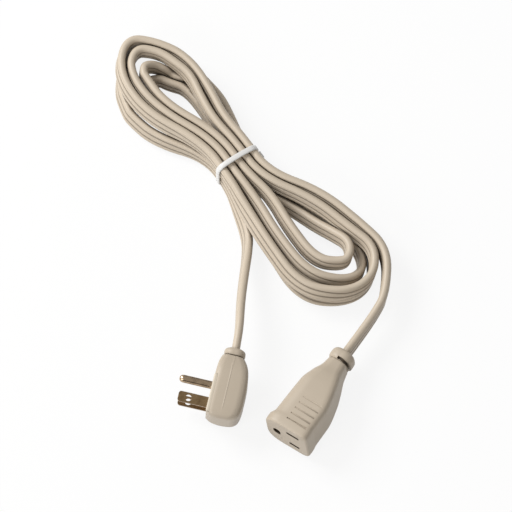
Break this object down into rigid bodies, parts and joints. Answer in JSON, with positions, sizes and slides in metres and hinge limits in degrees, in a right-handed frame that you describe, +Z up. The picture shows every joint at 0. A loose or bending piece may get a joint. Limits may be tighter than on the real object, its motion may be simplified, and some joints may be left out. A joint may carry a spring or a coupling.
{
  "type": "extension cord",
  "caption": "Flat grounded extension cord wound in a tied hank, with a right-angle three-prong plug and a tapered single-outlet connector.",
  "frame": {"origin": "on the surface it lies on, below the middle of the box around plug and connector", "axes": "+Z up, +Y away from the viewer towards the hank, +X to the right of the view, along the row of plug and connector"},
  "size_m": [0.1665, 0.2708, 0.0328],
  "materials": {
    "cord_vinyl": "satin, smooth",
    "housing_vinyl": "satin, smooth",
    "insert_vinyl": "matt",
    "tie_nylon": "satin",
    "blade_brass": "polished",
    "contact_brass": "as stamped",
    "core_copper": "bright strands, shown as a round rod"
  },
  "bodies": {
    "root": {"blade_line": "blade_brass", "blade_neutral": "blade_brass", "connector_body": "housing_vinyl", "connector_collar": "housing_vinyl", "connector_core_ground": "core_copper", "connector_core_line": "core_copper", "connector_core_neutral": "core_copper", "connector_crimp_ground": "contact_brass", "connector_crimp_line": "contact_brass", "connector_crimp_neutral": "contact_brass", "connector_lead": "cord_vinyl", "contact_carrier": "insert_vinyl", "contact_ground": "contact_brass", "contact_line": "contact_brass", "contact_neutral": "contact_brass", "cord_hank": "cord_vinyl", "ground_pin": "blade_brass", "plug_body": "housing_vinyl", "plug_carrier": "insert_vinyl", "plug_collar": "housing_vinyl", "plug_core_ground": "core_copper", "plug_core_line": "core_copper", "plug_core_neutral": "core_copper", "plug_crimp_ground": "contact_brass", "plug_crimp_line": "contact_brass", "plug_crimp_neutral": "contact_brass", "plug_lead": "cord_vinyl", "tie_head": "tie_nylon", "tie_strap": "tie_nylon"}
  },
  "joints": []
}
